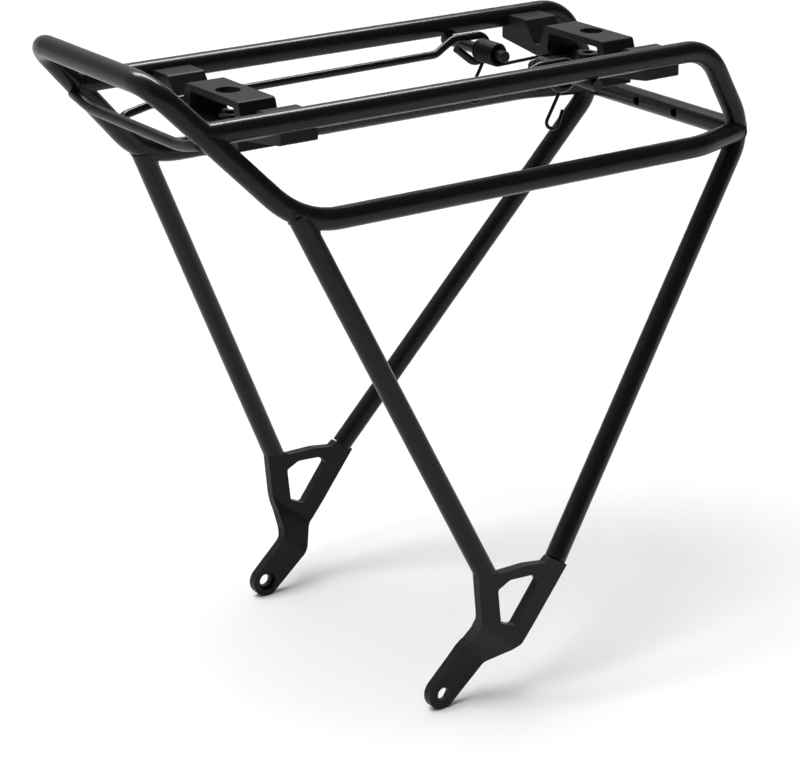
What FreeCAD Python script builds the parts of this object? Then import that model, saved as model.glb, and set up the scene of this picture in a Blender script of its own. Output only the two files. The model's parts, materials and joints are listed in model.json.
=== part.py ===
"""Rear rack for a bicycle: a welded tube frame with a spring-loaded wire bail.

Frame: origin midway between the two dropout eyelets, +X towards the rear of
the bicycle, +Y towards its right-hand side, +Z up.  All lengths in millimetres.
One STEP file per physical piece is written into the folder "parts".
"""
import FreeCAD, Part
import math
import os

os.makedirs("parts", exist_ok=True)
Vector = FreeCAD.Vector

# ---- frame tubes -----------------------------------------------------------
TUBE_R = 6.0                 # outside radius of every frame tube
TUBE_WALL = 1.6
DECK_Y = 65.8                # deck tube axis from the middle plane
DECK_Z = 330.9               # deck tube axis above the eyelets
DECK_FRONT_X = -128.0        # where the deck tube meets the loop diagonal
DECK_BEND_X = 198.8          # rear end of the straight deck
REAR_CORNER = (227.0, 66.2, 280.9)
REAR_LEG_END = (66.6, 105.6, 68.9)
DECK_BEND_R = 27.0
REAR_BEND_R = 25.0

RAIL_Y = 80.1                # lower rail axis from the middle plane
RAIL_Z = 280.5
RAIL_REAR_X = 184.0          # lower rail turns inwards here
RAIL_REAR_R = 45.0
LOOP_FOOT_X = -80.0          # lower rail turns up here
LOOP_FOOT_R = 50.0
LOOP_TOP = (-153.0, 58.3, 357.3)
LOOP_TOP_R = 17.0
LOOP_REAR_END = (222.5, 67.7, 280.9)

FRONT_LEG_TOP = (-82.4, 79.4, 286.0)
FRONT_LEG_END = (19.4, 106.8, 69.8)
FRONT_LEG_CUT_Z = 73.9       # the front leg stands flat on the plate here
LEG_PLUG = 3.0               # closed length at the foot of each leg

TAIL_X = 224.6               # tail light tube axis
TAIL_Z = 280.9
TAIL_HALF_LENGTH = 64.0
TAIL_HOLE_Y = 16.85
TAIL_HOLE_R = 2.6

# ---- front arch rod --------------------------------------------------------
ARCH_R = 3.0
ARCH_X = -129.5
ARCH_PATH = [(69.0, 327.0), (46.0, 321.6)]    # y and z of the end and of the bend
ARCH_BEND_R = 60.0

# ---- dropout plates --------------------------------------------------------
PLATE_T = 5.5
PLATE_UPPER_Y = 108.6       # outer face of the upper part
PLATE_LOWER_Y = 93.3         # outer face of the eyelet part
JOGGLE_DIR = (0.639, 0.769)  # direction across the joggle, in X and Z
JOGGLE_TOP = 43.0            # distance of the upper bend line along it
JOGGLE_FOOT = 26.5           # distance of the lower bend line
EYELET_R = 9.2
EYELET_HOLE_R = 3.65
NUT_POCKET_FLAT = 11.0       # across flats
NUT_POCKET_DEPTH = 2.5
# corner x, corner z, corner radius, going round from the front leg shoulder
PLATE_OUTLINE = [
    (11.8, 73.9, 0.6), (14.3, 48.0, 10.0), (15.3, 38.5, 4.0),
    (14.6, 29.5, 2.0), (13.2, 26.2, 2.0), (10.2, 22.5, 3.0), (-6.9, 6.1, 0.0),
    (6.4, -6.6, 0.0), (27.4, 11.4, 1.5), (38.4, 22.6, 3.0), (42.6, 25.2, 4.0),
    (49.7, 34.0, 0.0), (73.0, 64.9, 0.6), (61.2, 72.2, 0.6),
    (58.0, 69.6, 1.0), (45.0, 71.4, 30.0), (27.0, 71.4, 2.5),
    (23.6, 73.9, 0.3),
]
PLATE_WINDOW = [
    (25.3, 61.8, 2.0), (33.4, 65.8, 5.0), (48.6, 65.0, 5.0),
    (54.0, 60.4, 2.2), (36.8, 37.0, 2.2), (27.6, 41.4, 2.0),
]

# ---- brackets under the deck ----------------------------------------------
BRACKET_LENGTH = 22.5
FRONT_BRACKET_X = -83.3      # front face of the front bracket
REAR_BRACKET_X = 155.8       # front face of the rear bracket
# half section: y, z, corner radius, from the middle of the top outwards
BRACKET_SECTION = [
    (25.9, 332.8, 2.0), (30.6, 320.0, 0.5), (34.8, 320.0, 0.8),
    (45.0, 332.8, 3.0), (59.8, 332.8, 0.0), (66.0, 325.5, 0.0),
    (66.0, 318.4, 1.5), (31.6, 313.7, 6.0), (25.4, 312.6, 0.8),
    (25.4, 306.0, 1.0),
]
WINDOW_TOP_Y = 21.5
WINDOW_TOP_Z = 329.0
WINDOW_SIDE_Y = 23.2
WINDOW_SIDE_Z = 320.0
WINDOW_FLOOR_Y = 21.0
WINDOW_FLOOR_Z = 316.6
BRACKET_TOP_HOLE_R = 6.7
FRONT_TOP_HOLE_X = -73.3
REAR_TOP_HOLE_X = 169.2
BUSH_BORE_R = 3.25
BUSH_FLANGE_R = 6.5
BUSH_NECK_R = 4.9
BUSH_NECK_HEIGHT = 2.2
BUSH_FLANGE_HEIGHT = 1.8

# ---- bail pivots -----------------------------------------------------------
PIVOT_X = 117.4
PIVOT_Z = 321.9
PEG_R = 3.3
PEG_INNER_Y = 12.0
PEG_OUTER_Y = 70.0

# ---- torsion springs -------------------------------------------------------
SPRING_WIRE_R = 1.0
SPRING_COIL_R = 5.7
SPRING_FIRST_Y = 18.7
SPRING_LAST_Y = 36.2
SPRING_TURNS = 7.84
SPRING_LEG_END_X = 166.0
SPRING_LEG_END_Z = 317.9
# the hook below the coil, x and z of each corner, then the bend radii
SPRING_HOOK = [(108.0, 294.0), (116.4, 290.1), (120.6, 301.4)]
SPRING_HOOK_R = [3.6, 3.6]
SPRING_KNUCKLE_R = 1.01      # round joint between the coil and each leg
SPRING_KNUCKLE_TURN = 77.0   # turns each knuckle so that its poles lie off the wire ends

# ---- wire bail -------------------------------------------------------------
BAIL_WIRE_R = 2.25
BAIL_EYE_R = 7.5             # centre line radius of the eye
BAIL_EYE_Y = 39.6
BAIL_TAIL_END = (103.0, 323.6)
BAIL_KINK_TOP_X = 100.6
BAIL_KINK_FOOT = (87.0, 37.6, 322.7)
BAIL_LEG_FRONT = (-101.5, 31.9, 322.3)
BAIL_BOW = (-122.5, 31.2, 318.2)
BAIL_KINK_R = 8.0
BAIL_DIP_R = 30.0
BAIL_BOW_R = 8.0


def vec(point):
    return Vector(*point)


def mirror_y(shape):
    return shape.mirror(Vector(0, 0, 0), Vector(0, 1, 0))


def save(node, shape):
    shape.exportStep("parts/" + node + ".step")


def save_pair(stem, right_shape):
    """The right-hand piece sits at +Y; its mirror image is the left-hand one."""
    save(stem + "_right", right_shape)
    save(stem + "_left", mirror_y(right_shape))


def largest_solid(shape):
    """Drops the slivers a cope leaves beyond the tube it is cut by."""
    return max(shape.Solids, key=lambda solid: solid.Volume)


def corner_arc(before, corner, after, radius):
    """Start, middle and end of the arc that rounds a corner."""
    to_before = (before - corner).normalize()
    to_after = (after - corner).normalize()
    half_angle = to_before.getAngle(to_after) / 2
    setback = radius / math.tan(half_angle)
    bisector = (to_before + to_after).normalize()
    centre = corner + bisector * (radius / math.sin(half_angle))
    start = corner + to_before * setback
    end = corner + to_after * setback
    return start, centre - bisector * radius, end


def rounded_edges(corners, radii, closed):
    """Straight runs joined by tangent arcs; a zero radius keeps a sharp corner."""
    count = len(corners)
    first = 0 if closed else 1
    last = count if closed else count - 1
    stops = [] if closed else [(corners[0], None, corners[0])]
    for index in range(first, last):
        corner = corners[index]
        if radii[index] > 0:
            before = corners[index - 1]
            after = corners[(index + 1) % count]
            stops.append(corner_arc(before, corner, after, radii[index]))
        else:
            stops.append((corner, None, corner))
    if not closed:
        stops.append((corners[-1], None, corners[-1]))
    edges = []
    for index, (start, middle, end) in enumerate(stops):
        if middle is not None:
            edges.append(Part.Arc(start, middle, end).toShape())
        if index + 1 < len(stops) or closed:
            following = stops[(index + 1) % len(stops)][0]
            edges.append(Part.LineSegment(end, following).toShape())
    return edges


def swept_round(points, bend_radii, radius):
    """Round bar or tube skin along a path; bend_radii are for the inner corners."""
    corners = [vec(point) for point in points]
    radii = [0] + list(bend_radii) + [0]
    path = Part.Wire(rounded_edges(corners, radii, False))
    circle = Part.makeCircle(radius, corners[0], corners[1] - corners[0])
    return path.makePipeShell([Part.Wire([circle])], True, False)


def outline_prism(outline, to_point, sweep):
    """Prism of a closed outline of (a, b, radius) corners."""
    corners = [to_point(corner[0], corner[1]) for corner in outline]
    radii = [corner[2] for corner in outline]
    face = Part.Face(Part.Wire(rounded_edges(corners, radii, True)))
    return face.extrude(sweep)


def cylinder_y(radius, y_from, y_to, x, z):
    return Part.makeCylinder(radius, y_to - y_from, Vector(x, y_from, z), Vector(0, 1, 0))


def both_sides(points):
    """A path given from the right-hand side to the middle, continued to the left."""
    return list(points) + [(x, -y, z) for x, y, z in reversed(points)]


# ---- tube frame ------------------------------------------------------------
def loop_path():
    half = [
        LOOP_REAR_END,
        (RAIL_REAR_X, RAIL_Y, RAIL_Z),
        (LOOP_FOOT_X, RAIL_Y, RAIL_Z),
        LOOP_TOP,
    ]
    half_radii = [RAIL_REAR_R, LOOP_FOOT_R, LOOP_TOP_R]
    return both_sides(half), half_radii + half_radii[::-1]


def deck_path():
    points = [
        (DECK_FRONT_X, DECK_Y, DECK_Z),
        (DECK_BEND_X, DECK_Y, DECK_Z),
        REAR_CORNER,
        REAR_LEG_END,
    ]
    return points, [DECK_BEND_R, REAR_BEND_R]


def leg_plug(end, towards):
    """Solid disc that closes the foot of a leg."""
    axis = (vec(towards) - vec(end)).normalize()
    return Part.makeCylinder(TUBE_R, LEG_PLUG, vec(end), axis)


def lower_rail_loop(loop_skin, deck_skins):
    points, radii = loop_path()
    bore = swept_round(points, radii, TUBE_R - TUBE_WALL)
    return largest_solid(loop_skin.cut(bore).cut(deck_skins[0]).cut(deck_skins[1]))


def deck_tube(deck_skin, loop_skin):
    points, radii = deck_path()
    bore = swept_round(points, radii, TUBE_R - TUBE_WALL)
    bore = bore.cut(leg_plug(REAR_LEG_END, REAR_CORNER))
    return deck_skin.cut(bore).cut(loop_skin)


def front_leg(loop_skin):
    points = [FRONT_LEG_TOP, FRONT_LEG_END]
    skin = swept_round(points, [], TUBE_R)
    bore = swept_round(points, [], TUBE_R - TUBE_WALL)
    size = 4 * TUBE_R
    corner = Vector(FRONT_LEG_END[0] - size / 2, FRONT_LEG_END[1] - size / 2, 0)
    floor_block = Part.makeBox(size, size, FRONT_LEG_CUT_Z, corner)
    plug_block = Part.makeBox(size, size, FRONT_LEG_CUT_Z + LEG_PLUG, corner)
    return skin.cut(bore.cut(plug_block)).cut(floor_block).cut(loop_skin)


def tail_light_tube(deck_skins, loop_skin):
    half = TAIL_HALF_LENGTH
    tube = cylinder_y(TUBE_R, -half, half, TAIL_X, TAIL_Z)
    tube = tube.cut(cylinder_y(TUBE_R - TUBE_WALL, -half, half, TAIL_X, TAIL_Z))
    for y in (-TAIL_HOLE_Y, TAIL_HOLE_Y):
        start = Vector(TAIL_X - 2 * TUBE_R, y, TAIL_Z)
        hole = Part.makeCylinder(TAIL_HOLE_R, 4 * TUBE_R, start, Vector(1, 0, 0))
        tube = tube.cut(hole)
    return largest_solid(tube.cut(deck_skins[0]).cut(deck_skins[1]).cut(loop_skin))


def front_arch_rod(loop_skin):
    half = [(ARCH_X, y, z) for y, z in ARCH_PATH]
    radii = [ARCH_BEND_R] * 2
    return largest_solid(swept_round(both_sides(half), radii, ARCH_R).cut(loop_skin))


# ---- dropout plates --------------------------------------------------------
def joggled_slab():
    """Flat bar set inwards along a joggle, wider than the plate outline."""
    across = Vector(JOGGLE_DIR[0], 0, JOGGLE_DIR[1])
    along = Vector(JOGGLE_DIR[1], 0, -JOGGLE_DIR[0])
    drop = PLATE_UPPER_Y - PLATE_LOWER_Y
    slope = math.atan2(drop, JOGGLE_TOP - JOGGLE_FOOT)
    shift = PLATE_T * math.tan(slope / 2)
    far = 150.0
    section = [
        (far, PLATE_UPPER_Y, 0),
        (JOGGLE_TOP, PLATE_UPPER_Y, 5.0 + PLATE_T),
        (JOGGLE_FOOT, PLATE_LOWER_Y, 5.0),
        (-far, PLATE_LOWER_Y, 0),
        (-far, PLATE_LOWER_Y - PLATE_T, 0),
        (JOGGLE_FOOT + shift, PLATE_LOWER_Y - PLATE_T, 5.0 + PLATE_T),
        (JOGGLE_TOP + shift, PLATE_UPPER_Y - PLATE_T, 5.0),
        (far, PLATE_UPPER_Y - PLATE_T, 0),
    ]

    def to_point(distance, y):
        return across * distance + Vector(0, y, 0) - along * far

    return outline_prism(section, to_point, along * (2 * far))


def dropout_plate(deck_skin):
    """Joggled plate with a window, relieved where the rear leg stands on it."""
    depth = PLATE_UPPER_Y - PLATE_LOWER_Y + 4 * PLATE_T
    base_y = PLATE_LOWER_Y - 2 * PLATE_T

    def to_point(x, z):
        return Vector(x, base_y, z)

    blank = outline_prism(PLATE_OUTLINE, to_point, Vector(0, depth, 0))
    blank = blank.fuse(cylinder_y(EYELET_R, base_y, base_y + depth, 0, 0))
    window = outline_prism(PLATE_WINDOW, to_point, Vector(0, depth, 0))
    hole = cylinder_y(EYELET_HOLE_R, base_y, base_y + depth, 0, 0)
    plate = joggled_slab().common(blank).cut(window).cut(hole)
    plate = plate.cut(nut_pocket()).removeSplitter()
    return largest_solid(plate.cut(deck_skin))


def nut_pocket():
    """Hexagonal recess for a captive nut on the inner face of the eyelet."""
    radius = NUT_POCKET_FLAT / 2 / math.cos(math.pi / 6)
    inner_y = PLATE_LOWER_Y - PLATE_T
    corners = []
    for index in range(6):
        angle = index * math.pi / 3
        corners.append((radius * math.cos(angle), radius * math.sin(angle), 0))

    def to_point(x, z):
        return Vector(x, inner_y - 1, z)

    return outline_prism(corners, to_point, Vector(0, NUT_POCKET_DEPTH + 1, 0))


# ---- brackets --------------------------------------------------------------
def bracket(front_x, top_hole_x, deck_skins):
    """Extruded bridge between the deck tubes with a window and two wire notches."""
    sweep = Vector(BRACKET_LENGTH, 0, 0)

    def to_point(y, z):
        return Vector(front_x, y, z)

    left = [(-y, z, radius) for y, z, radius in reversed(BRACKET_SECTION)]
    body = outline_prism(BRACKET_SECTION + left, to_point, sweep)
    window_right = [
        (WINDOW_TOP_Y, WINDOW_TOP_Z, 1.5),
        (WINDOW_SIDE_Y, WINDOW_SIDE_Z, 1.5),
        (WINDOW_FLOOR_Y, WINDOW_FLOOR_Z, 1.0),
    ]
    window_left = [(-y, z, radius) for y, z, radius in reversed(window_right)]
    body = body.cut(outline_prism(window_right + window_left, to_point, sweep))
    middle_x = front_x + BRACKET_LENGTH / 2
    up = Vector(0, 0, 1)
    top_start = Vector(top_hole_x, 0, WINDOW_FLOOR_Z + 5)
    body = body.cut(Part.makeCylinder(BRACKET_TOP_HOLE_R, 20, top_start, up))
    floor_start = Vector(middle_x, 0, WINDOW_FLOOR_Z - 20)
    body = body.cut(Part.makeCylinder(BUSH_BORE_R, 22, floor_start, up))
    return body.cut(deck_skins[0]).cut(deck_skins[1])


def latch_bush(front_x):
    """Flanged bush standing on the window floor, in line with the bore below it."""
    middle = Vector(front_x + BRACKET_LENGTH / 2, 0, WINDOW_FLOOR_Z)
    up = Vector(0, 0, 1)
    flange_base = middle + up * BUSH_NECK_HEIGHT
    bush = Part.makeCylinder(BUSH_NECK_R, BUSH_NECK_HEIGHT, middle, up)
    bush = bush.fuse(Part.makeCylinder(BUSH_FLANGE_R, BUSH_FLANGE_HEIGHT, flange_base, up))
    bore_length = BUSH_NECK_HEIGHT + BUSH_FLANGE_HEIGHT
    return bush.cut(Part.makeCylinder(BUSH_BORE_R, bore_length, middle, up))


# ---- bail pivots -----------------------------------------------------------
def pivot_peg(deck_skin):
    peg = cylinder_y(PEG_R, PEG_INNER_Y, PEG_OUTER_Y, PIVOT_X, PIVOT_Z)
    end_face = peg.Faces[0]
    for face in peg.Faces:
        if face.CenterOfMass.y < end_face.CenterOfMass.y:
            end_face = face
    peg = peg.makeChamfer(0.6, end_face.Edges)
    return peg.cut(deck_skin)


# ---- torsion springs -------------------------------------------------------
def spring_coil():
    """Helix from the straight leg, under the coil, to where the hook leaves it."""
    height = SPRING_LAST_Y - SPRING_FIRST_Y
    pitch = height / SPRING_TURNS
    helix = Part.makeHelix(pitch, height, SPRING_COIL_R)
    start = Vector(SPRING_COIL_R, 0, 0)
    tangent = Vector(0, 2 * math.pi * SPRING_COIL_R, pitch)
    circle = Part.makeCircle(SPRING_WIRE_R, start, tangent)
    coil = Part.Wire(helix).makePipeShell([Part.Wire([circle])], True, True)
    # lay the helix axis along +Y with its start below the pivot
    coil.rotate(Vector(0, 0, 0), Vector(1, 0, 0), -90)
    coil.rotate(Vector(0, 0, 0), Vector(0, 1, 0), 90)
    coil.translate(Vector(PIVOT_X, SPRING_FIRST_Y, PIVOT_Z))
    return coil


def spring_knuckle(point):
    knuckle = Part.makeSphere(SPRING_KNUCKLE_R, vec(point))
    knuckle.rotate(vec(point), Vector(0, 1, 0), SPRING_KNUCKLE_TURN)
    return knuckle


def torsion_spring():
    leg_start = (PIVOT_X, SPRING_FIRST_Y, PIVOT_Z - SPRING_COIL_R)
    leg_end = (SPRING_LEG_END_X, SPRING_FIRST_Y, SPRING_LEG_END_Z)
    leg = swept_round([leg_start, leg_end], [], SPRING_WIRE_R)
    hook_angle = -math.pi / 2 - 2 * math.pi * SPRING_TURNS
    hook_start = (
        PIVOT_X + SPRING_COIL_R * math.cos(hook_angle),
        SPRING_LAST_Y,
        PIVOT_Z + SPRING_COIL_R * math.sin(hook_angle),
    )
    hook_points = [hook_start] + [(x, SPRING_LAST_Y, z) for x, z in SPRING_HOOK]
    hook = swept_round(hook_points, SPRING_HOOK_R, SPRING_WIRE_R)
    knuckles = [spring_knuckle(leg_start), spring_knuckle(hook_start)]
    return spring_coil().multiFuse([leg, hook] + knuckles)


# ---- wire bail -------------------------------------------------------------
def bail_eye_edges():
    """Right-hand eye: from the cut wire end, round the pivot, to its top."""
    y = BAIL_EYE_Y
    centre = Vector(PIVOT_X, y, PIVOT_Z)
    end = Vector(BAIL_TAIL_END[0], y, BAIL_TAIL_END[1])
    reach = end - centre
    tangent_angle = math.acos(BAIL_EYE_R / reach.Length)
    bearing = math.atan2(reach.z, reach.x)
    touch_angle = bearing + tangent_angle

    def on_eye(angle):
        offset = Vector(math.cos(angle), 0, math.sin(angle)) * BAIL_EYE_R
        return centre + offset

    top_angle = 2 * math.pi + math.pi / 2
    middle_angle = (touch_angle + top_angle) / 2
    top = on_eye(top_angle)
    line = Part.LineSegment(end, on_eye(touch_angle)).toShape()
    arc = Part.Arc(on_eye(touch_angle), on_eye(middle_angle), top).toShape()
    return [line, arc], end, on_eye(touch_angle), top


def clamp_bail():
    eye_edges, end, touch, top = bail_eye_edges()
    half = [
        (top.x, top.y, top.z),
        (BAIL_KINK_TOP_X, BAIL_EYE_Y, top.z),
        BAIL_KINK_FOOT,
        BAIL_LEG_FRONT,
        BAIL_BOW,
    ]
    half_radii = [BAIL_KINK_R, BAIL_KINK_R, BAIL_DIP_R, BAIL_BOW_R]
    points = [vec(point) for point in both_sides(half)]
    radii = [0] + half_radii + half_radii[::-1] + [0]
    body_edges = rounded_edges(points, radii, False)
    left_eye = [mirror_y(edge) for edge in reversed(eye_edges)]
    path = Part.Wire(Part.__sortEdges__(eye_edges + body_edges + left_eye))
    circle = Part.makeCircle(BAIL_WIRE_R, end, touch - end)
    return path.makePipeShell([Part.Wire([circle])], True, False)


def build():
    loop_points, loop_radii = loop_path()
    loop_skin = swept_round(loop_points, loop_radii, TUBE_R)
    deck_points, deck_radii = deck_path()
    deck_right = swept_round(deck_points, deck_radii, TUBE_R)
    deck_skins = [deck_right, mirror_y(deck_right)]

    save("lower_rail_loop", lower_rail_loop(loop_skin, deck_skins))
    save_pair("deck_tube", deck_tube(deck_right, loop_skin))
    save_pair("front_leg", front_leg(loop_skin))
    save("tail_light_tube", tail_light_tube(deck_skins, loop_skin))
    save("front_arch_rod", front_arch_rod(loop_skin))
    save_pair("dropout_plate", dropout_plate(deck_right))
    save("front_bracket", bracket(FRONT_BRACKET_X, FRONT_TOP_HOLE_X, deck_skins))
    save("rear_bracket", bracket(REAR_BRACKET_X, REAR_TOP_HOLE_X, deck_skins))
    save("front_latch_bush", latch_bush(FRONT_BRACKET_X))
    save("rear_latch_bush", latch_bush(REAR_BRACKET_X))
    save_pair("pivot_peg", pivot_peg(deck_right))
    save_pair("torsion_spring", torsion_spring())
    save("clamp_bail", clamp_bail())


build()
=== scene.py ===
"""Rear rack for a bicycle on a white studio floor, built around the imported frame.

Frame: origin midway between the dropout eyelets, +X rearwards, +Y to the right-hand
side, +Z up.  Blender works in metres; names that end in _MM are in millimetres.
"""

import json
import math

import bmesh
import bpy
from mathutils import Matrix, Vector


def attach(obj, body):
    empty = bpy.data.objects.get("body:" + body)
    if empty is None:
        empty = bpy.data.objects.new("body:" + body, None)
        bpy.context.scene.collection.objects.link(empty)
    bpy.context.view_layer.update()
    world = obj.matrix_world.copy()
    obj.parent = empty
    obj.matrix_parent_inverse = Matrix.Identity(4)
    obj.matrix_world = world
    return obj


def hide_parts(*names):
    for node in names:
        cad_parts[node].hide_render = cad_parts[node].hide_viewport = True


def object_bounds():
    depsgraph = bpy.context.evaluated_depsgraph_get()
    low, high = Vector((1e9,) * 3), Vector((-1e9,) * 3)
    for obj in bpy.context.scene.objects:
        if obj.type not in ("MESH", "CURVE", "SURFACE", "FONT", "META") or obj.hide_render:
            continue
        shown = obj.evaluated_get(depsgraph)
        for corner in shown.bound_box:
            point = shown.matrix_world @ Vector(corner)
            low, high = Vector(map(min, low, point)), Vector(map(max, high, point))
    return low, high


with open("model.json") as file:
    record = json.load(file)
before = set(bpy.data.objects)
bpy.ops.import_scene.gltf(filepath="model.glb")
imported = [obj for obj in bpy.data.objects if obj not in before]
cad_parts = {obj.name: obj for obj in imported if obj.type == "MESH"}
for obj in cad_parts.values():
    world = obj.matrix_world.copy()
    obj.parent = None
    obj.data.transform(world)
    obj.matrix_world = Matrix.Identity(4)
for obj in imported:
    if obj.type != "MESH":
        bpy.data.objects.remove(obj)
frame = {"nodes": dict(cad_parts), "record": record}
cad_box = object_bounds()

MM = 0.001
FRAME_BODY = "frame"
SIDES = {"right": 1.0, "left": -1.0}

# ---- camera ---------------------------------------------------------------------
CAMERA_PLACE = (-0.76504, -1.13917, 0.66240)
CAMERA_AZIMUTH = -35.106
CAMERA_ELEVATION = 20.396
CAMERA_ROLL = -0.039
CAMERA_LENS = 117.856
SENSOR_WIDTH = 36.0

# ---- tube frame axes, where one tube is welded to another -------------------------
TUBE_R_MM = 6.0
ARCH_R_MM = 3.0
DECK_MM = (65.8, 330.9)                 # y and z of the deck tubes
DECK_BEND_MM = (198.8, 65.8, 330.9)
REAR_CORNER_MM = (227.0, 66.2, 280.9)
REAR_LEG_END_MM = (66.6, 105.6, 68.9)
REAR_BEND_R_MM = 25.0
RAIL_REAR_MM = (184.0, 80.1, 280.5)
RAIL_END_MM = (222.5, 67.7, 280.9)
LOOP_FOOT_MM = (-80.0, 80.1, 280.5)
LOOP_FOOT_R_MM = 50.0
LOOP_TOP_MM = (-153.0, 58.3, 357.3)
FRONT_LEG_TOP_MM = (-82.4, 79.4, 286.0)
FRONT_LEG_END_MM = (19.4, 106.8, 69.8)
ARCH_BEND_MM = (-129.5, 46.0, 321.6)
ARCH_END_MM = (-129.5, 69.0, 327.0)
ARCH_BEND_R_MM = 60.0
ARCH_KEPT = 0.84                        # share of its end straight; it stops inside the diagonal
ARCH_BEND_STEPS = 20
ARCH_SIDES = 40
TAIL_TUBE_MM = (224.6, 280.9)           # x and z of the tail light tube
DECK_FORWARD_MM = -100                  # x of a point further forward on the deck tubes
TAIL_OUTWARD_MM = 50                    # y of a point further out on the tail light tube
BEAD_R_MM = 0.5                         # weld bead
BEAD_CLEARANCE = 1.1                    # bead radii from a bead's path to the rearmost end of the box
BEAD_LOW = 0.86                         # share of the bead radius between two ripples
BEAD_SWELL = 0.18                       # share that a ripple adds
BEAD_STEPS = 144
BEAD_SIDES = 10
RIPPLE_MM = 1.2                         # spacing of the ripples along a bead
FEWEST_RIPPLES = 8

# ---- torsion springs ----------------------------------------------------------------
PIVOT_MM = (117.4, 321.9)               # x and z of the pegs
SPRING_WIRE_R_MM = 1.0
COIL_R_MM = 5.7
COIL_Y_MM = (18.7, 36.2)
COIL_TURNS = 7.84
COIL_STEPS_PER_TURN = 40
SPRING_SIDES = 20
SPRING_LEG_END_MM = (166.0, 317.9)      # x and z
HOOK_MM = ((108.0, 294.0), (116.4, 290.1), (120.6, 301.4))    # x and z of its two corners and its tip
HOOK_BEND_R_MM = 3.6
HOOK_BEND_STEPS = 14
LEG_STEPS = 8
WIRE_END_ROUNDING = 0.3                 # share of the wire radius
WIRE_SMOOTH_ANGLE = 50                  # degrees; the rim of an end face stays sharp

# ---- small radii on cut and moulded edges ---------------------------------------------
PLATE_EDGE_MM = 0.55
BRACKET_EDGE_MM = 0.28
BUSH_EDGE_MM = 0.25
EDGE_SEGMENTS = 3
SHARP_ANGLE = 28                        # degrees between faces; flatter edges stay as they are
FLAT_ANGLE = 0.4                        # degrees; faces this flat are joined first
MERGE_MM = 0.002
NORMAL_WEIGHT = 60

# ---- finish ---------------------------------------------------------------------------
GRAIN_STRENGTH = 0.5
GRAIN_DETAIL = 3.0
CLOUD_SCALE = 45.0                      # slow changes in gloss, per metre
CLOUD_DETAIL = 4.0
DARK_TINT = 0.75
LIGHT_TINT = 1.25

# ---- studio ---------------------------------------------------------------------------
WORLD_AXIS = (0.30, -0.90, 0.31)        # towards the dark side
WORLD_FADE = (-0.35, 0.45)
WORLD_LEVELS = (0.64, 0.08)
FLOOR_HALF = 12.0                       # metres
FLOOR_CELLS = 24
FLOOR_WHITE = 0.90
FLOOR_ROUGHNESS = 0.9
FLOOR_SPECULAR = 0.1
KEY_DIRECTION = (0.32, -0.02, -1.0)     # the way its light travels
KEY_SOFTNESS = 43.0                     # degrees
KEY_STRENGTH = 3.15
STRIP_PLACE = (0.35, 0.75, 1.75)        # metres
STRIP_TARGET = (0.05, 0.0, 0.25)
STRIP_SIZE = (1.6, 0.25)
STRIP_POWER = 62.0


# =====================================================================================
# materials
# =====================================================================================
def coat(name, colour, roughness, grain_mm, grain_depth_mm, stretch=(1.0, 1.0, 1.0),
         specular=0.2, variation=0.05):
    """Black finish with fine grain: a bump, a slow change in gloss and a faint change in colour."""
    material = bpy.data.materials.new(name)
    material.use_nodes = True
    nodes = material.node_tree.nodes
    links = material.node_tree.links
    shader = nodes["Principled BSDF"]
    shader.inputs["Metallic"].default_value = 0.0
    shader.inputs["IOR"].default_value = 1.5
    shader.inputs["Specular IOR Level"].default_value = specular

    place = nodes.new("ShaderNodeTexCoord")
    stretched = nodes.new("ShaderNodeMapping")
    stretched.inputs["Scale"].default_value = stretch
    links.new(place.outputs["Object"], stretched.inputs["Vector"])

    grain = nodes.new("ShaderNodeTexNoise")
    grain.inputs["Scale"].default_value = 1.0 / (grain_mm * MM)
    grain.inputs["Detail"].default_value = GRAIN_DETAIL
    links.new(stretched.outputs["Vector"], grain.inputs["Vector"])
    bump = nodes.new("ShaderNodeBump")
    bump.inputs["Strength"].default_value = GRAIN_STRENGTH
    bump.inputs["Distance"].default_value = grain_depth_mm * MM
    links.new(grain.outputs["Fac"], bump.inputs["Height"])
    links.new(bump.outputs["Normal"], shader.inputs["Normal"])

    clouds = nodes.new("ShaderNodeTexNoise")
    clouds.inputs["Scale"].default_value = CLOUD_SCALE
    clouds.inputs["Detail"].default_value = CLOUD_DETAIL
    links.new(place.outputs["Object"], clouds.inputs["Vector"])
    gloss = nodes.new("ShaderNodeMapRange")
    gloss.inputs["To Min"].default_value = roughness - variation
    gloss.inputs["To Max"].default_value = roughness + variation
    links.new(clouds.outputs["Fac"], gloss.inputs["Value"])
    links.new(gloss.outputs["Result"], shader.inputs["Roughness"])

    tint = nodes.new("ShaderNodeMix")
    tint.data_type = "RGBA"
    tint.inputs["A"].default_value = (*[DARK_TINT * part for part in colour], 1.0)
    tint.inputs["B"].default_value = (*[LIGHT_TINT * part for part in colour], 1.0)
    links.new(grain.outputs["Fac"], tint.inputs["Factor"])
    links.new(tint.outputs["Result"], shader.inputs["Base Color"])
    return material


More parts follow.
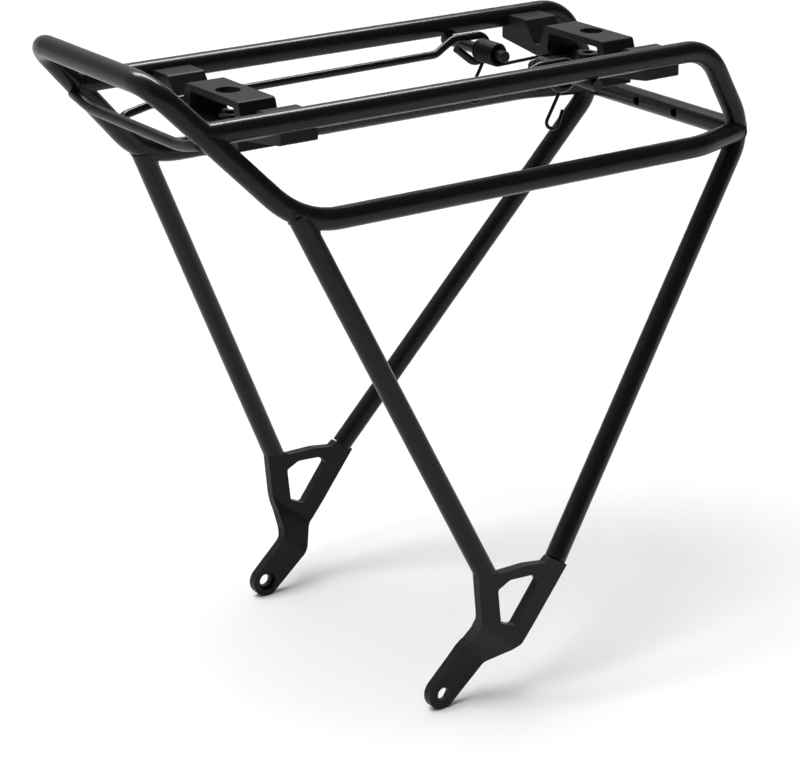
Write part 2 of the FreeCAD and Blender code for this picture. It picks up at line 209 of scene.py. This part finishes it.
MATERIALS = {
    # powder coat: slight orange peel, satin gloss
    "frame_coat": coat(
        "frame_powder_coat", (0.0054, 0.0054, 0.0057),
        roughness=0.27, grain_mm=0.9, grain_depth_mm=0.004),
    "plate_coat": coat(
        "plate_powder_coat", (0.0060, 0.0060, 0.0062),
        roughness=0.42, grain_mm=0.7, grain_depth_mm=0.010, specular=0.16),
    # anodised extrusion: fine draw lines along X
    "bracket_coat": coat(
        "bracket_anodised", (0.0078, 0.0078, 0.0080),
        roughness=0.38, grain_mm=0.5, grain_depth_mm=0.008, stretch=(0.05, 1.0, 1.0), specular=0.095),
    "bush_black": coat(
        "bush_black_zinc", (0.0050, 0.0050, 0.0053),
        roughness=0.34, grain_mm=0.4, grain_depth_mm=0.008, specular=0.15),
    "spring_black": coat(
        "spring_black_steel", (0.0040, 0.0040, 0.0042),
        roughness=0.30, grain_mm=0.35, grain_depth_mm=0.006, specular=0.15),
    "bail_black": coat(
        "bail_black_coat", (0.0050, 0.0050, 0.0053),
        roughness=0.25, grain_mm=0.6, grain_depth_mm=0.006),
}
SLOT_OF = {part["node"]: part["material_slot"] for part in frame["record"]["subparts"]}


def finish_cad_nodes():
    """Every node of the frame gets the finish of its own material slot."""
    for name, node in frame["nodes"].items():
        for place in node.material_slots:
            place.material = MATERIALS[SLOT_OF[name]]


def add_piece(name, mesh, slot, body, smooth_angle=None):
    """Puts a mesh in the scene, smooth up to the angle, on its body and with its finish."""
    mesh.materials.append(MATERIALS[slot])
    for face in mesh.polygons:
        face.use_smooth = True
    if smooth_angle is not None:
        mesh.set_sharp_from_angle(angle=math.radians(smooth_angle))
    piece = bpy.data.objects.new(name, mesh)
    bpy.context.scene.collection.objects.link(piece)
    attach(piece, body)
    return piece


# =====================================================================================
# wires
# =====================================================================================
def to_metres(point):
    return Vector(point) * MM


def mirrored(points):
    return [Vector((point.x, -point.y, point.z)) for point in points]


def wire_mesh(name, points, radii, sides, closed):
    """Round wire along points; a closed path joins up, an open one gets rounded end faces."""
    count = len(points)
    tangents = []
    for index in range(count):
        after = points[(index + 1) % count] if closed or index + 1 < count else points[index]
        before = points[index - 1] if closed or index > 0 else points[index]
        tangents.append((after - before).normalized())
    normal = tangents[0].orthogonal().normalized()
    rings = []
    for index in range(count):
        normal = (normal - tangents[index] * normal.dot(tangents[index])).normalized()
        across = tangents[index].cross(normal)
        rings.append((points[index], normal.copy(), across, radii[index]))
    if not closed:
        first_end = rounded_end(rings[0], -tangents[0])
        last_end = rounded_end(rings[-1], tangents[-1])
        rings = first_end + rings[1:-1] + last_end[::-1]

    mesh_builder = bmesh.new()
    loops = []
    for centre, normal, across, radius in rings:
        loop = []
        for side in range(sides):
            angle = 2 * math.pi * side / sides
            offset = normal * math.cos(angle) + across * math.sin(angle)
            loop.append(mesh_builder.verts.new(centre + offset * radius))
        loops.append(loop)
    if closed:
        join_with_twist(mesh_builder, loops[-1], loops[0])
    for near, far in zip(loops, loops[1:]):
        for side in range(sides):
            following = (side + 1) % sides
            mesh_builder.faces.new((near[side], near[following], far[following], far[side]))
    if not closed:
        mesh_builder.faces.new(loops[0][::-1])
        mesh_builder.faces.new(loops[-1])
    bmesh.ops.recalc_face_normals(mesh_builder, faces=mesh_builder.faces)
    mesh = bpy.data.meshes.new(name)
    mesh_builder.to_mesh(mesh)
    mesh_builder.free()
    return mesh


def rounded_end(ring, outwards):
    """Three rings that round off the end of a wire, outermost first."""
    centre, normal, across, radius = ring
    rings = []
    for share in (1.0, 0.5, 0.0):
        edge = WIRE_END_ROUNDING * radius
        inset = edge * (1 - math.cos(share * math.pi / 2))
        back = edge * (1 - math.sin(share * math.pi / 2))
        rings.append((centre - outwards * back, normal, across, radius - inset))
    return rings


def join_with_twist(mesh_builder, last_loop, first_loop):
    """Closes a ring of loops, turned so that the nearest corners meet."""
    sides = len(first_loop)
    start = last_loop[0].co
    shift = min(range(sides), key=lambda side: (first_loop[side].co - start).length)
    for side in range(sides):
        following = (side + 1) % sides
        mesh_builder.faces.new((
            last_loop[side],
            last_loop[following],
            first_loop[(following + shift) % sides],
            first_loop[(side + shift) % sides],
        ))


def corner_arc(before, corner, after, radius, steps):
    """Points of the arc that rounds a corner."""
    to_before = (before - corner).normalized()
    to_after = (after - corner).normalized()
    half_angle = to_before.angle(to_after) / 2
    bisector = (to_before + to_after).normalized()
    centre = corner + bisector * (radius / math.sin(half_angle))
    setback = radius / math.tan(half_angle)
    start = (corner + to_before * setback - centre).normalized()
    end = (corner + to_after * setback - centre).normalized()
    return [centre + start.slerp(end, step / steps) * radius for step in range(steps + 1)]


# =====================================================================================
# front arch
# =====================================================================================
def make_arch():
    """Front arch rod with rounded ends that sink into the diagonals."""
    bend = to_metres(ARCH_BEND_MM)
    end = bend.lerp(to_metres(ARCH_END_MM), ARCH_KEPT)
    other_bend = mirrored([bend])[0]
    half = [end] + corner_arc(end, bend, other_bend, ARCH_BEND_R_MM * MM, ARCH_BEND_STEPS)
    points = half + mirrored(half)[::-1]
    radii = [ARCH_R_MM * MM] * len(points)
    mesh = wire_mesh("front_arch_smooth", points, radii, ARCH_SIDES, closed=False)
    arch = add_piece("front_arch_smooth", mesh, "frame_coat", FRAME_BODY, WIRE_SMOOTH_ANGLE)
    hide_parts("front_arch_rod")


# =====================================================================================
# torsion springs
# =====================================================================================
def spring_path():
    """Right-hand spring: straight leg, coil and hook as one wire."""
    pivot_x, pivot_z = PIVOT_MM
    first_y, last_y = COIL_Y_MM
    leg_x, leg_z = SPRING_LEG_END_MM
    leg_end = to_metres((leg_x, first_y, leg_z))
    leg_start = to_metres((pivot_x, first_y, pivot_z - COIL_R_MM))
    points = [leg_end.lerp(leg_start, step / LEG_STEPS) for step in range(LEG_STEPS)]
    steps = round(COIL_TURNS * COIL_STEPS_PER_TURN)
    for step in range(steps + 1):
        share = step / steps
        angle = -math.pi / 2 - 2 * math.pi * COIL_TURNS * share
        points.append(to_metres((
            pivot_x + COIL_R_MM * math.cos(angle),
            first_y + (last_y - first_y) * share,
            pivot_z + COIL_R_MM * math.sin(angle),
        )))
    hook = [to_metres((x, last_y, z)) for x, z in HOOK_MM]
    radius = HOOK_BEND_R_MM * MM
    first_bend = corner_arc(points[-1], hook[0], hook[1], radius, HOOK_BEND_STEPS)
    second_bend = corner_arc(hook[0], hook[1], hook[2], radius, HOOK_BEND_STEPS)
    return points + first_bend + second_bend + [hook[2]]


def make_springs():
    path = spring_path()
    radii = [SPRING_WIRE_R_MM * MM] * len(path)
    for side, sign in SIDES.items():
        points = path if sign > 0 else mirrored(path)
        piece_name = "spring_wire_" + side
        mesh = wire_mesh(piece_name, points, radii, SPRING_SIDES, closed=False)
        spring = add_piece(piece_name, mesh, "spring_black", FRAME_BODY, WIRE_SMOOTH_ANGLE)
        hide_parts("torsion_spring_" + side)


# =====================================================================================
# weld beads
# =====================================================================================
def saddle(start, towards, main_point, main_direction, radius):
    """Closed curve where a branch tube, seen from its start, meets a main tube of its own radius."""
    axis = (towards - start).normalized()
    side = axis.orthogonal().normalized()
    across = axis.cross(side)
    along = main_direction.normalized()
    points = []
    for index in range(BEAD_STEPS):
        angle = 2 * math.pi * index / BEAD_STEPS
        begin = start + (side * math.cos(angle) + across * math.sin(angle)) * radius
        reach = begin - main_point
        flat_reach = reach - along * reach.dot(along)
        flat_axis = axis - along * axis.dot(along)
        a = flat_axis.dot(flat_axis)
        b = 2 * flat_reach.dot(flat_axis)
        c = flat_reach.dot(flat_reach) - radius ** 2
        # a t^2 + b t + c = 0 at the skin; the nearer root is where the branch first meets it
        root = max(b * b - 4 * a * c, 0.0) ** 0.5
        points.append(begin + axis * ((-b - root) / (2 * a)))
    return points


def bead_radii(points, radius):
    """A bead laid in ripples: its radius swells and shrinks along the way."""
    length = sum((after - before).length for before, after in zip(points, points[1:]))
    ripples = max(FEWEST_RIPPLES, round(length / (RIPPLE_MM * MM)))
    radii = []
    for index in range(len(points)):
        swell = abs(math.sin(math.pi * ripples * index / len(points)))
        radii.append(radius * (BEAD_LOW + BEAD_SWELL * swell))
    return radii


def bend_tangent(before, corner, after, radius):
    """Middle point and direction of a tube's bend."""
    arc = corner_arc(before, corner, after, radius, steps=2)
    return arc[1], (arc[2] - arc[0]).normalized()


def weld_joints():
    """Right-hand joints: name, branch start, branch end, main point and main direction."""
    foot = to_metres(LOOP_FOOT_MM)
    top = to_metres(LOOP_TOP_MM)
    rail_rear = to_metres(RAIL_REAR_MM)
    leg_foot = to_metres(FRONT_LEG_END_MM)
    deck_middle = to_metres((0, *DECK_MM))
    deck_forward = to_metres((DECK_FORWARD_MM, *DECK_MM))
    tail_x, tail_z = TAIL_TUBE_MM
    tail_middle = to_metres((tail_x, 0, tail_z))
    tail_outward = to_metres((tail_x, TAIL_OUTWARD_MM, tail_z))
    deck_bend = to_metres(DECK_BEND_MM)
    rear_corner = to_metres(REAR_CORNER_MM)
    rear_leg_end = to_metres(REAR_LEG_END_MM)
    rear_point, rear_direction = bend_tangent(
        deck_bend, rear_corner, rear_leg_end, REAR_BEND_R_MM * MM)
    foot_point, foot_direction = bend_tangent(rail_rear, foot, top, LOOP_FOOT_R_MM * MM)
    diagonal = top - foot
    return [
        ("deck_front", deck_middle, deck_forward, foot, diagonal),
        ("front_leg", leg_foot, to_metres(FRONT_LEG_TOP_MM), foot_point, foot_direction),
        ("rail_rear", rail_rear, to_metres(RAIL_END_MM), rear_point, rear_direction),
        ("tail_tube", tail_middle, tail_outward, rear_point, rear_direction),
    ]


def make_weld_beads():
    """A rippled bead at each joint on both sides; none stands out behind the rear tubes."""
    rearmost = cad_box[1].x - BEAD_CLEARANCE * BEAD_R_MM * MM
    for name, start, towards, main_point, main_direction in weld_joints():
        curve = saddle(start, towards, main_point, main_direction, TUBE_R_MM * MM)
        for point in curve:
            point.x = min(point.x, rearmost)
        radii = bead_radii(curve, BEAD_R_MM * MM)
        for side, sign in SIDES.items():
            points = curve if sign > 0 else mirrored(curve)
            piece_name = "weld_" + name + "_" + side
            mesh = wire_mesh(piece_name, points, radii, BEAD_SIDES, closed=True)
            add_piece(piece_name, mesh, "frame_coat", FRAME_BODY)


# =====================================================================================
# plates, brackets and bushes with softened edges
# =====================================================================================
def softened(node, edge_mm):
    """A clean copy of a node whose sharp edges are rounded; it stands in for the node."""
    source = frame["nodes"][node].data
    builder = bmesh.new()
    corners = [builder.verts.new(vertex.co) for vertex in source.vertices]
    for face in source.polygons:
        builder.faces.new([corners[index] for index in face.vertices])
    bmesh.ops.remove_doubles(builder, verts=builder.verts, dist=MERGE_MM * MM)
    bmesh.ops.dissolve_limit(
        builder, angle_limit=math.radians(FLAT_ANGLE), verts=builder.verts, edges=builder.edges)
    sharp = []
    for edge in builder.edges:
        if edge.is_manifold and edge.calc_face_angle() > math.radians(SHARP_ANGLE):
            sharp.append(edge)
    bmesh.ops.bevel(
        builder, geom=sharp, offset=edge_mm * MM, offset_type="OFFSET", segments=EDGE_SEGMENTS,
        profile=0.5, affect="EDGES", clamp_overlap=True)
    mesh = bpy.data.meshes.new(node + "_soft")
    builder.to_mesh(mesh)
    builder.free()
    piece = add_piece(node + "_soft", mesh, SLOT_OF[node], FRAME_BODY)
    weighted = piece.modifiers.new("even_normals", "WEIGHTED_NORMAL")
    weighted.weight = NORMAL_WEIGHT
    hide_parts(node)


def make_softened_parts():
    for side in SIDES:
        softened("dropout_plate_" + side, PLATE_EDGE_MM)
    for end in ("front", "rear"):
        softened(end + "_bracket", BRACKET_EDGE_MM)
        softened(end + "_latch_bush", BUSH_EDGE_MM)


# =====================================================================================
# studio
# =====================================================================================
def make_camera():
    data = bpy.data.cameras.new("camera")
    data.lens = CAMERA_LENS
    data.sensor_width = SENSOR_WIDTH
    camera = bpy.data.objects.new("camera", data)
    camera.location = CAMERA_PLACE
    camera.rotation_euler = (
        math.radians(90 - CAMERA_ELEVATION),
        math.radians(CAMERA_ROLL),
        math.radians(CAMERA_AZIMUTH),
    )
    bpy.context.scene.collection.objects.link(camera)
    bpy.context.scene.camera = camera


def area_light(name, place, target, size, power):
    """Soft box that is only seen as a reflection."""
    data = bpy.data.lights.new(name, "AREA")
    data.shape = "RECTANGLE"
    data.size, data.size_y = size
    data.energy = power
    light = bpy.data.objects.new(name, data)
    light.location = place
    light.rotation_euler = (Vector(target) - Vector(place)).to_track_quat("-Z", "Y").to_euler()
    light.visible_diffuse = False
    bpy.context.scene.collection.objects.link(light)


def sun_light(name, direction, softness, strength):
    """Even light without a reflection of its own; softness is in degrees."""
    data = bpy.data.lights.new(name, "SUN")
    data.angle = math.radians(softness)
    data.energy = strength
    light = bpy.data.objects.new(name, data)
    light.rotation_euler = Vector(direction).to_track_quat("-Z", "Y").to_euler()
    light.visible_glossy = False
    bpy.context.scene.collection.objects.link(light)


def make_world():
    """White studio: bright behind and beside the object, dark on the side of the camera."""
    world = bpy.data.worlds.new("studio")
    world.use_nodes = True
    nodes = world.node_tree.nodes
    links = world.node_tree.links
    background = nodes["Background"]
    place = nodes.new("ShaderNodeTexCoord")
    facing = nodes.new("ShaderNodeVectorMath")
    facing.operation = "DOT_PRODUCT"
    facing.inputs[1].default_value = WORLD_AXIS
    links.new(place.outputs["Generated"], facing.inputs[0])
    shade = nodes.new("ShaderNodeMapRange")
    shade.interpolation_type = "SMOOTHSTEP"
    shade.inputs["From Min"].default_value = WORLD_FADE[0]
    shade.inputs["From Max"].default_value = WORLD_FADE[1]
    shade.inputs["To Min"].default_value = WORLD_LEVELS[0]
    shade.inputs["To Max"].default_value = WORLD_LEVELS[1]
    links.new(facing.outputs["Value"], shade.inputs["Value"])
    # the camera itself sees plain white
    path = nodes.new("ShaderNodeLightPath")
    seen = nodes.new("ShaderNodeMath")
    seen.operation = "MAXIMUM"
    links.new(path.outputs["Is Camera Ray"], seen.inputs[0])
    links.new(shade.outputs["Result"], seen.inputs[1])
    links.new(seen.outputs["Value"], background.inputs["Strength"])
    background.inputs["Color"].default_value = (1.0, 1.0, 1.0, 1.0)
    bpy.context.scene.world = world


def make_floor():
    builder = bmesh.new()
    bmesh.ops.create_grid(builder, x_segments=FLOOR_CELLS, y_segments=FLOOR_CELLS, size=FLOOR_HALF)
    mesh = bpy.data.meshes.new("studio_floor")
    builder.to_mesh(mesh)
    builder.free()
    floor = bpy.data.objects.new("studio_floor", mesh)
    floor.location = (0.0, 0.0, cad_box[0].z)
    bpy.context.scene.collection.objects.link(floor)
    material = bpy.data.materials.new("floor_white")
    material.use_nodes = True
    shader = material.node_tree.nodes["Principled BSDF"]
    shader.inputs["Base Color"].default_value = (FLOOR_WHITE, FLOOR_WHITE, FLOOR_WHITE, 1.0)
    shader.inputs["Roughness"].default_value = FLOOR_ROUGHNESS
    shader.inputs["Specular IOR Level"].default_value = FLOOR_SPECULAR
    mesh.materials.append(material)


def make_studio():
    make_camera()
    make_world()
    make_floor()
    # a broad key from above and in front of the rack, a long soft box above its far side
    sun_light("key_left", KEY_DIRECTION, KEY_SOFTNESS, KEY_STRENGTH)
    area_light("top_strip", STRIP_PLACE, STRIP_TARGET, STRIP_SIZE, STRIP_POWER)
    bpy.context.scene.view_settings.view_transform = "Standard"
    bpy.context.scene.view_settings.look = "None"


make_studio()
finish_cad_nodes()
make_arch()
make_springs()
make_weld_beads()
make_softened_parts()
